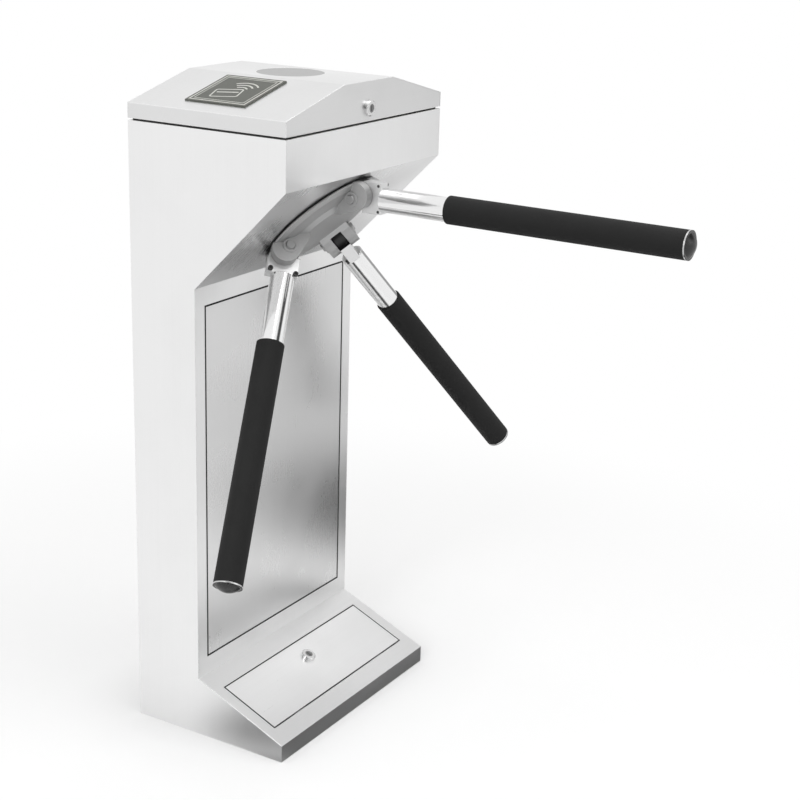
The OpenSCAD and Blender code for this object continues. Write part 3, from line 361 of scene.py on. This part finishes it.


# Black strips in the gaps round both covers, a thin bead that hardly stands out from the steel: painted shade
# for the dark of each gap.
# The recess cover's strip bridges its gap. The hatch's is stuck to its edge and leaves room to tilt.


def moulded(name, colour, roughness, edge_radius=0.0006, mottle=0.10, grain=240.0):
    material = bpy.data.materials.new(name)
    material.use_nodes = True
    tree = material.node_tree
    shader = tree.nodes["Principled BSDF"]
    marks = use(tree, smudge_group, {"Scale": 22.0})
    edges = use(tree, edge_group, {"Radius": edge_radius})
    spots = place(tree, "ShaderNodeTexNoise", {
        "Vector": place(tree, "ShaderNodeTexCoord").outputs["Object"], "Scale": grain, "Detail": 4.0})
    strength = vary(
        tree, 1.0 - mottle * 0.5, (spots.outputs[0], mottle), (marks.outputs["Smudge"], mottle * 0.5),
        (marks.outputs["Dust"], mottle), (edges.outputs["Edge"], mottle * 2.0))
    tree.links.new(tint(tree, colour, strength), shader.inputs["Base Color"])
    rough = vary(tree, roughness, (spots.outputs[0], 0.08), (marks.outputs["Smudge"], 0.08))
    tree.links.new(rough, shader.inputs["Roughness"])
    bump = place(tree, "ShaderNodeBump", {
        "Strength": 0.35, "Distance": 0.0001,
        "Height": spots.outputs[0], "Normal": edges.outputs["Normal"]})
    tree.links.new(bump.outputs[0], shader.inputs["Normal"])
    return material


def bare_metal(name, colour, roughness, edge_radius=0.0006, mottle=0.06, grain=180.0):
    material = moulded(name, colour, roughness, edge_radius, mottle, grain)
    material.node_tree.nodes["Principled BSDF"].inputs["Metallic"].default_value = 1.0
    return material


def join_rows(shape, rows, closed=True):
    """Joins each ring of corners to the next with flat faces, and the last to the first if it is closed."""
    for i in range(len(rows) if closed else len(rows) - 1):
        near, far = rows[i], rows[(i + 1) % len(rows)]
        for j in range(len(near)):
            after = (j + 1) % len(near)
            shape.faces.new((near[j], near[after], far[after], far[j]))


def new_piece(name, shape, material, body):
    """Makes an object of a finished bmesh, gives it its finish and lets it ride on a body."""
    bmesh.ops.recalc_face_normals(shape, faces=shape.faces)
    mesh = bpy.data.meshes.new(name)
    shape.to_mesh(mesh)
    shape.free()
    mesh.materials.append(material)
    piece = bpy.data.objects.new(name, mesh)
    bpy.context.scene.collection.objects.link(piece)
    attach(piece, body)
    return piece


def gap_shade_frame(where, inner, outer, bottom, top):
    """A mitred square frame round an opening. Inner and outer are left, right, low and high in the place."""
    shape = bmesh.new()
    rows = []
    for corner in range(4):
        row = []
        section = ((outer, bottom), (outer, top), (inner, top), (inner, bottom))
        for (left, right, low, high), height in section:
            x = (left, right, right, left)[corner]
            y = (low, low, high, high)[corner]
            row.append(shape.verts.new(where @ Vector((x, y, height))))
        rows.append(row)
    join_rows(shape, rows)
    return shape


gap_shade_black = moulded("gap_shade_black", (0.008, 0.008, 0.008), 0.7)
cover_half = 0.177
cover_low = 0.121
cover_high = 0.6675
shade_w = 0.0021
shade_under = -0.0002
shade_over = 0.0003
bridge = 0.0005
recess_place = Matrix.Translation((0.0, 0.020, 0.0)) @ Matrix.Rotation(math.radians(90.0), 4, "X")
new_piece("recess_cover_gap_shade", gap_shade_frame(
    recess_place,
    (-cover_half + shade_w, cover_half - shade_w, cover_low + shade_w, cover_high - shade_w),
    (-cover_half - bridge, cover_half + bridge, cover_low - bridge, cover_high + bridge),
    shade_under, shade_over), gap_shade_black, "root")
hatch_half = 0.179
hatch_top = -0.034
hatch_end = -0.137
shade_gap = 0.0004
low_shade_gap = 0.0009
foot_place = Matrix.Translation((0.0, 0.020, 0.092)) @ Matrix.Rotation(math.atan2(0.065, 0.154), 4, "X")
new_piece("hatch_gap_shade", gap_shade_frame(
    foot_place, (-hatch_half + shade_w, hatch_half - shade_w, hatch_end + shade_w, hatch_top - shade_w),
    (-hatch_half + shade_gap, hatch_half - shade_gap, hatch_end + low_shade_gap, hatch_top - shade_gap),
    shade_under, shade_over), gap_shade_black, "hatch")


# The lid: one folded and welded shell, brushed along the walk.
# Its folds are softly rounded, and their colour is brightened along them as a painted highlight.
lid_stainless = brushed_steel(
    "lid_stainless", (0.75, 0.75, 0.75), (5.0, 600.0, 600.0), 0.30, edge_radius=0.0025, painted_edge_highlight=0.33)
coat(lid_stainless, "lid_shell")


# The reader's plaque: a dark moulded face on the lid's left slope, with a light printed double border.
# Its pictogram is a plain card under three waves, drawn for a person who stands at the cabinet's left end.
plaque_dark = moulded("plaque_dark", (0.084, 0.088, 0.075), 0.42)
coat(plaque_dark, "reader_plaque")
black_plastic = moulded("black_plastic", (0.02, 0.02, 0.02), 0.45)
coat(black_plastic, "reader_module")
lid_slope = math.atan2(0.035, 0.138)
lid_slope_place = Matrix.Translation((-0.062, 0.0, 0.980)) @ Matrix.Rotation(-lid_slope, 4, "Y")
plaque_middle = Vector((-0.064, 0.004))
plaque_face = 0.002
plaque_half = (0.051, 0.050)


ink = 0.00018
ink_sunk = 0.00002


def printed_line(shape, points, width, closed=False):
    """A thin raised line of ink along points given as right, up from the plaque's middle."""
    count = len(points)
    rows = []
    for i, here in enumerate(points):
        before = points[i - 1] if closed or i else here
        after = points[(i + 1) % count] if closed or i < count - 1 else here
        first = (Vector(here) - Vector(before)).normalized() if before != here else None
        second = (Vector(after) - Vector(here)).normalized() if after != here else None
        first = first or second
        second = second or first
        side = Vector((-first.y - second.y, first.x + second.x)) / (1.0 + first.dot(second))
        row = []
        for reach, height in ((0.5, 0.0), (0.5, ink), (-0.5, ink), (-0.5, 0.0)):
            right, up = Vector(here) + side * width * reach
            local = Vector((plaque_middle.x + up, plaque_middle.y - right, plaque_face + height - ink_sunk))
            row.append(shape.verts.new(lid_slope_place @ local))
        rows.append(row)
    join_rows(shape, rows, closed)
    if not closed:
        shape.faces.new(rows[0])
        shape.faces.new(rows[-1])


def rounded_box(half_w, half_h, radius, turn=0.0, middle=(0.0, 0.0)):
    points = []
    for corner in range(4):
        centre = ((1, 1), (-1, 1), (-1, -1), (1, -1))[corner]
        for step in range(5):
            angle = math.radians(corner * 90 + step * 22.5)
            x = centre[0] * (half_w - radius) + radius * math.cos(angle)
            y = centre[1] * (half_h - radius) + radius * math.sin(angle)
            points.append((
                middle[0] + x * math.cos(turn) - y * math.sin(turn),
                middle[1] + x * math.sin(turn) + y * math.cos(turn)))
    return points


print_silver = moulded("print_silver", (0.60, 0.60, 0.56), 0.4)
border = bmesh.new()
for margin, width in ((0.0045, 0.0022), (0.0095, 0.0012)):
    half_w = plaque_half[0] - margin
    half_h = plaque_half[1] - margin
    corners = [(half_w, half_h), (-half_w, half_h), (-half_w, -half_h), (half_w, -half_h)]
    printed_line(border, corners, width, closed=True)
new_piece("plaque_border", border, print_silver, "lid")
sign = bmesh.new()
card_turn = math.radians(12.0)
wave_middle = (0.004, -0.002)
printed_line(sign, rounded_box(0.0205, 0.0135, 0.0030, card_turn, (-0.006, -0.0135)), 0.0022, closed=True)
printed_line(sign, [(-0.0225, -0.0140), (0.0098, -0.0072)], 0.0030)
for radius in (0.013, 0.0210, 0.029):
    arc = []
    for degrees in range(38, 129, 10):
        angle = math.radians(degrees)
        arc.append((wave_middle[0] + radius * math.cos(angle), wave_middle[1] + radius * math.sin(angle)))
    printed_line(sign, arc, 0.0026)
new_piece("plaque_pictogram", sign, print_silver, "lid")


# The indicator: a frosted grey disc of polycarbonate.
# It lies flush in the lid's flat top and is held from inside.
lens_grey = moulded("lens_grey", (0.36, 0.36, 0.36), 0.35, grain=600.0)
coat(lens_grey, "indicator_lens")


# The two cam locks, in the lid's front and in the hatch: chrome plated barrels.
# Their plugs are duller, so they show as a dark middle.
lock_chrome = bare_metal("lock_chrome", (0.66, 0.66, 0.66), 0.16)
coat(lock_chrome, "lid_lock_barrel", "hatch_lock_barrel")
plug_chrome = bare_metal("plug_chrome", (0.24, 0.24, 0.24), 0.30)
coat(plug_chrome, "lid_lock_plug", "hatch_lock_plug")


# The hub: a cast and machined body with three forks, and ground pins across them.
# A thin black ring round its rim is painted shade for the gap there, and the forks' slots and the roots' eyes
# in them are painted near black as shade.
hub_place = Matrix.Translation((0.0, -0.057, 0.773)) @ Matrix.Rotation(math.radians(135.0), 4, "X")
apex_depth = 0.059


def arm_place(number):
    """An arm's frame: +Z along the arm from the arms' common point, +X along its pivot."""
    turn = Matrix.Rotation(math.radians(-120.0 * (number - 1)), 4, "Z")
    lean = Matrix.Rotation(math.radians(-45.0), 4, "X")
    return hub_place @ Matrix.Translation((0.0, 0.0, -apex_depth)) @ turn @ lean


def measured(tree, number, axis):
    """How far a spot lies along one axis of an arm's frame."""
    start = arm_place(number)
    from_start = place(tree, "ShaderNodeVectorMath", {
        0: place(tree, "ShaderNodeTexCoord").outputs["Object"], 1: start.translation}, operation="SUBTRACT")
    along = start.to_3x3() @ Vector(axis)
    far = place(tree, "ShaderNodeVectorMath", {0: from_start.outputs[0], 1: along}, operation="DOT_PRODUCT")
    return far.outputs["Value"]


def darken(material, mask, colour):
    """Where the mask is 1 the metal turns near black and hardly shines: painted shade in the forks' slots and
    the roots' eyes, and the end caps' own black domes.
    """
    tree = material.node_tree
    shader = tree.nodes["Principled BSDF"]
    plain = shader.inputs["Base Color"].links[0].from_socket
    mixed = place(tree, "ShaderNodeMix", {0: mask, 6: plain, 7: colour}, data_type="RGBA")
    tree.links.new(mixed.outputs[2], shader.inputs["Base Color"])
    tree.links.new(reckon(tree, "SUBTRACT", 1.0, mask), shader.inputs["Metallic"])


shade_and_dome_black = (0.012, 0.012, 0.012, 1.0)
slot_half = 0.0095
slot_start = 0.097
eye_end = 0.1185
cast_hub = bare_metal("cast_hub", (0.47, 0.47, 0.47), 0.48, edge_radius=0.0010)
hub_tree = cast_hub.node_tree
# The forks' slots are painted near black: painted shade inside them.
slot_shade = 0.0
for number in (1, 2, 3):
    across = reckon(hub_tree, "ABSOLUTE", measured(hub_tree, number, (1.0, 0.0, 0.0)))
    narrow = reckon(hub_tree, "LESS_THAN", across, slot_half)
    beyond = reckon(hub_tree, "GREATER_THAN", measured(hub_tree, number, (0.0, 0.0, 1.0)), slot_start)
    slot_shade = reckon(hub_tree, "MAXIMUM", slot_shade, reckon(hub_tree, "MULTIPLY", narrow, beyond))
darken(cast_hub, slot_shade, shade_and_dome_black)
coat(cast_hub, "hub_body")
for number in (1, 2, 3):
    root_steel = bare_metal("root_steel_%d" % number, (0.74, 0.74, 0.74), 0.34, edge_radius=0.0010)
    root_tree = root_steel.node_tree
    # The root's eye inside the fork is painted near black as shade.
    eye_shade = reckon(root_tree, "LESS_THAN", measured(root_tree, number, (0.0, 0.0, 1.0)), eye_end)
    darken(root_steel, eye_shade, shade_and_dome_black)
    coat(root_steel, "arm_root_%d" % number)
pin_steel = bare_metal("pin_steel", (0.40, 0.40, 0.40), 0.38)
coat(pin_steel, "pivot_pins")
# A thin black ring round the hub's rim: painted shade for the gap between the rim and the slanted face.
ring = bmesh.new()
ring_rows = []
ring_steps = 96
ring_inner = 0.0968
ring_outer = 0.0975
ring_low = 0.0010
ring_high = 0.0022
ring_section = (
    (ring_inner, ring_low), (ring_outer, ring_low), (ring_outer, ring_high), (ring_inner, ring_high),
)
for step in range(ring_steps):
    angle = 2.0 * math.pi * step / ring_steps
    row = []
    for radius, height in ring_section:
        local = Vector((radius * math.cos(angle), radius * math.sin(angle), height))
        row.append(ring.verts.new(hub_place @ local))
    ring_rows.append(row)
join_rows(ring, ring_rows)
new_piece("hub_rim_gap_shade", ring, gap_shade_black, "tripod")


# The three arms: a steel root in the fork, a polished tube on it, a soft black sleeve and a domed end cap.
# Two socket screws across each root hold the tube's spigot, and their ends show on the root's other side.
polished_steel = bare_metal("polished_tube", (0.84, 0.84, 0.84), 0.07, mottle=0.02)
coat(polished_steel, "arm_tube_1", "arm_tube_2", "arm_tube_3")
sleeve_rubber = moulded("sleeve_rubber", (0.008, 0.008, 0.008), 0.66, mottle=0.25, grain=900.0)
sleeve_rubber.node_tree.nodes["Principled BSDF"].inputs["Specular IOR Level"].default_value = 0.30
coat(sleeve_rubber, "arm_sleeve_1", "arm_sleeve_2", "arm_sleeve_3")


def end_cap(number, edge):
    """A black domed cap behind a polished rim: the rim ends where the dome starts."""
    material = bare_metal("end_cap_%d" % number, (0.55, 0.55, 0.55), 0.20, grain=400.0)
    tree = material.node_tree
    on_dome = reckon(tree, "GREATER_THAN", measured(tree, number, (0.0, 0.0, 1.0)), edge)
    darken(material, on_dome, shade_and_dome_black)
    return material


cap_edge = 0.6100
screw_steel = moulded("screw_oxide", (0.035, 0.035, 0.035), 0.50)


def socket_screw(shape, where, head_r, head_h):
    """A cap screw's head with its hexagon socket, standing on the place's +Z side."""
    around = 24
    socket_floor = 0.45
    hexagon = head_r * 0.48
    chamfer = head_r * 0.14
    rings = (
        (0.0, head_r, False), (head_h - chamfer, head_r, False), (head_h, head_r - chamfer, False),
        (head_h, hexagon, True), (head_h * socket_floor, hexagon, True),
    )
    rows = []
    for height, radius, six_sided in rings:
        row = []
        for step in range(around):
            angle = 2.0 * math.pi * step / around
            reach = radius / math.cos((angle % (math.pi / 3)) - math.pi / 6) if six_sided else radius
            local = Vector((reach * math.cos(angle), reach * math.sin(angle), height))
            row.append(shape.verts.new(where @ local))
        rows.append(row)
    join_rows(shape, rows, closed=False)
    shape.faces.new(rows[0])
    shape.faces.new(rows[-1])


root_half = 0.009
screw_at = 0.1435
screws_up = (0.0205, -0.0165)
head_side = (1.0, 0.0037, 0.0040)
end_side = (-1.0, 0.0022, 0.0003)
for number in (1, 2, 3):
    coat(end_cap(number, cap_edge), "arm_cap_%d" % number)
    screws = bmesh.new()
    for up in screws_up:
        for side, head_r, head_h in (head_side, end_side):
            sideways = Matrix.Rotation(math.radians(90.0 * side), 4, "Y")
            foot = arm_place(number) @ Matrix.Translation((side * root_half, up, screw_at))
            socket_screw(screws, foot @ sideways, head_r, head_h)
    new_piece("arm_screws_%d" % number, screws, screw_steel, "arm_%d" % number)


# The mechanism inside the head: zinc plated brackets and pillars, and blackened plates.
# The shaft, the cam, the lock disc and the pawls are ground steel, and the electric pieces are black plastic.
plated_steel = bare_metal("plated_steel", (0.60, 0.60, 0.57), 0.35)
coat(plated_steel, "rim_frame", "mechanism_brackets", "cabinet_fasteners", "lid_hinge_fixed",
     "lid_hinge_moving", "damper_bracket", "pillars_and_posts", "shaft_spacers")
black_steel = bare_metal("black_steel", (0.16, 0.16, 0.17), 0.4)
coat(black_steel, "mechanism_plate", "rear_plate")
ground_steel = bare_metal("ground_steel", (0.55, 0.55, 0.56), 0.28)
coat(ground_steel, "bearing_housing", "shaft_bearings", "main_shaft", "index_cam", "lock_disc", "index_lever",
     "index_roller", "pawl_left", "pawl_right", "plunger_left", "plunger_right")
coat(black_plastic, "rotary_damper", "encoder_disc", "encoder_sensor", "solenoids")
seal_black = moulded("seal_black", (0.015, 0.015, 0.015), 0.6)
coat(seal_black, "lid_seal")


# The electronics on the back wall: a green lacquered board with its connectors.
# Beside it is an aluminium power supply.
board_green = moulded("board_green", (0.02, 0.12, 0.05), 0.4)
coat(board_green, "control_board")
aluminium = bare_metal("aluminium_case", (0.70, 0.70, 0.70), 0.4)
coat(aluminium, "power_supply")
